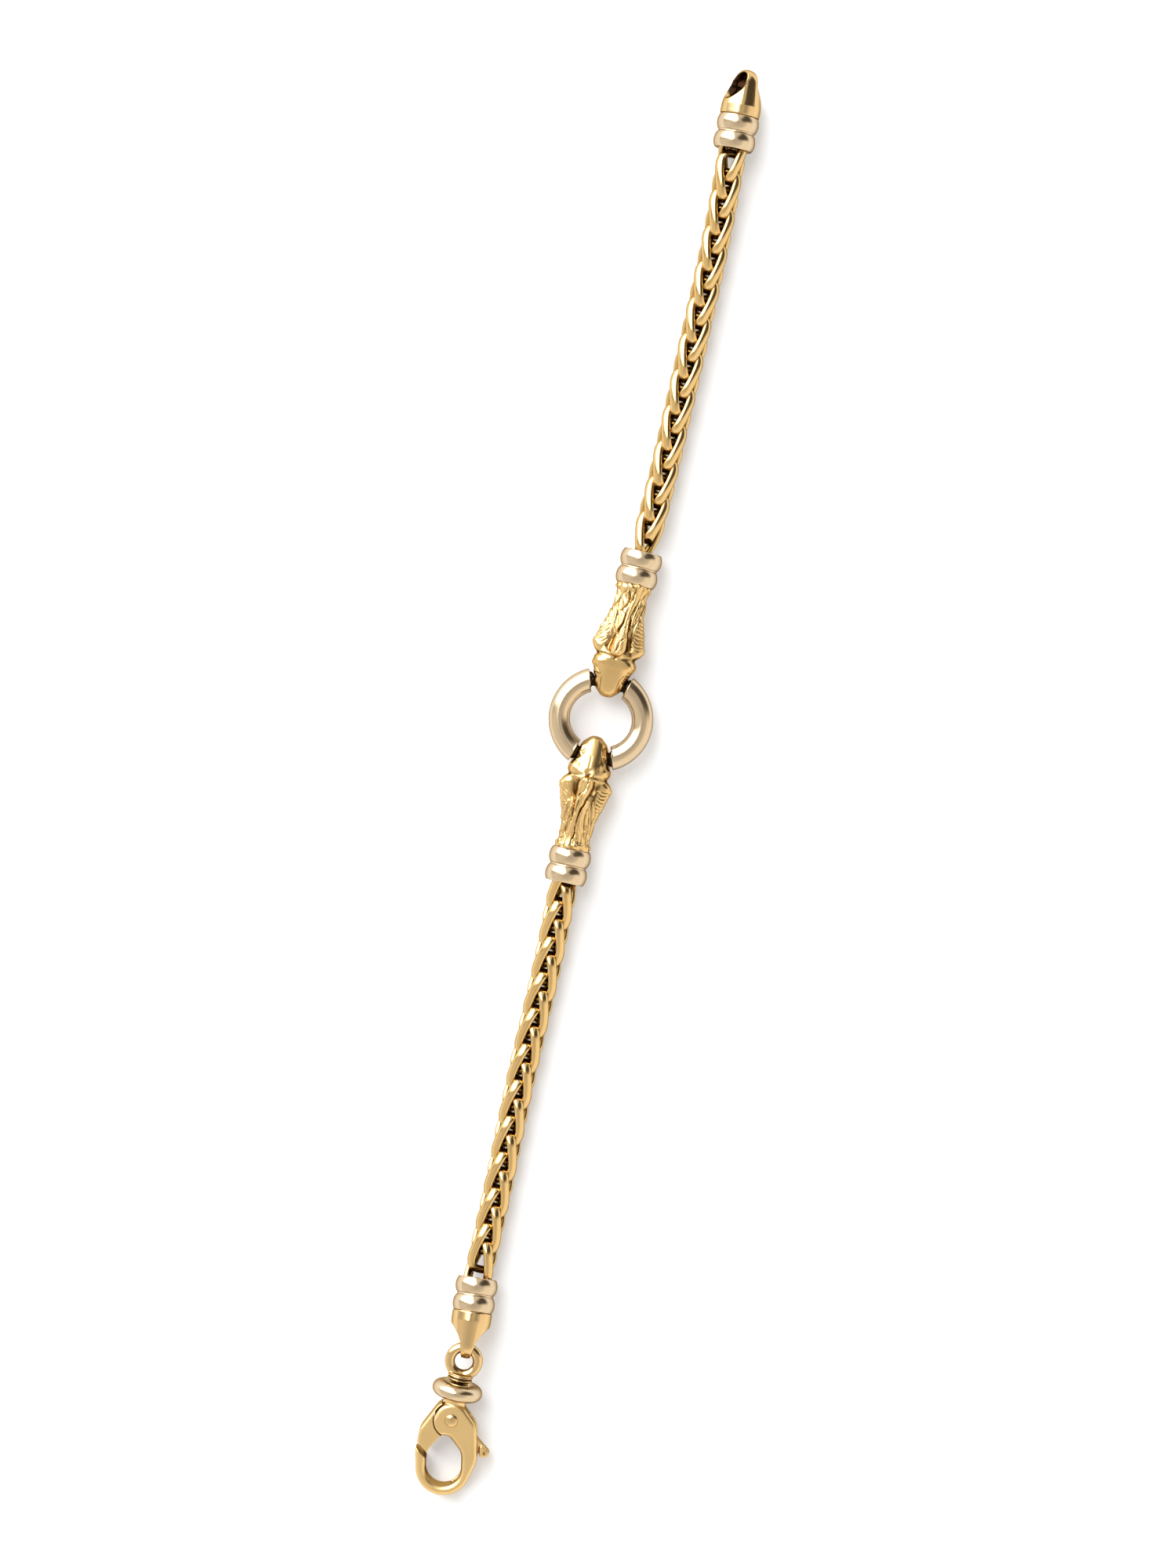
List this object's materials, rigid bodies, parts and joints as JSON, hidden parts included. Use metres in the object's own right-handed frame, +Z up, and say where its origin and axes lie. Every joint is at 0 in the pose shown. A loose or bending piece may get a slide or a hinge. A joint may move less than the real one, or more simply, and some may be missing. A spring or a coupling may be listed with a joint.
{
  "type": "bracelet",
  "caption": "Two-tone gold bracelet: a centre ring between two cast animal heads, with a wheat chain on each side, a bullet cap with an eye at one end and a swivel lobster clasp at the other.",
  "frame": {"origin": "centre of the bounding box's bottom face, on the surface that the bracelet lies on", "axes": "+Y along the bracelet from the clasp towards the eye end, +X across it, +Z up"},
  "size_m": [0.0136, 0.1901, 0.0066],
  "materials": {
    "yellow_gold": "polished 18 ct yellow gold",
    "white_gold": "polished warm white gold"
  },
  "bodies": {
    "tip_half": {"head_upper": "yellow_gold", "collar_upper_head": "white_gold", "chain_upper": "yellow_gold", "collar_tip": "white_gold", "tip_cap": "yellow_gold"},
    "ring": {"centre_ring": "white_gold"},
    "clasp_half": {"head_lower": "yellow_gold", "collar_lower_head": "white_gold", "chain_lower": "yellow_gold", "collar_clasp": "white_gold", "end_cap": "yellow_gold"},
    "eye": {"swivel_eye": "yellow_gold"},
    "clasp": {"clasp_body": "yellow_gold", "rondelle": "white_gold", "clasp_rivet": "yellow_gold"},
    "lever": {"clasp_lever": "yellow_gold"}
  },
  "joints": [
    {"name": "upper_head_hinge", "type": "hinge", "parent": "tip_half", "child": "ring", "pos_m": [0, 0.01295, 0.00275], "axis": [1, 0, 0], "range_deg": [-50, 50]},
    {"name": "lower_head_hinge", "type": "hinge", "parent": "ring", "child": "clasp_half", "pos_m": [0, 0.00365, 0.00275], "axis": [1, 0, 0], "range_deg": [-25, 25]},
    {"name": "eye_hinge", "type": "hinge", "parent": "clasp_half", "child": "eye", "pos_m": [0.00093, -0.0753, 0.00402], "axis": [1, 0, 0], "range_deg": [-60, 60]},
    {"name": "clasp_swivel", "type": "hinge", "parent": "eye", "child": "clasp", "pos_m": [0.00093, -0.0753, 0.00402], "axis": [0, -0.992, -0.1266], "continuous": true},
    {"name": "lever_hinge", "type": "hinge", "parent": "clasp", "child": "lever", "pos_m": [0.00104, -0.08483, 0.0028], "axis": [0, -0.1266, 0.992], "range_deg": [0, 25], "stiffness_Nm_per_rad": 0.004, "springref_deg": -28.65}
  ]
}
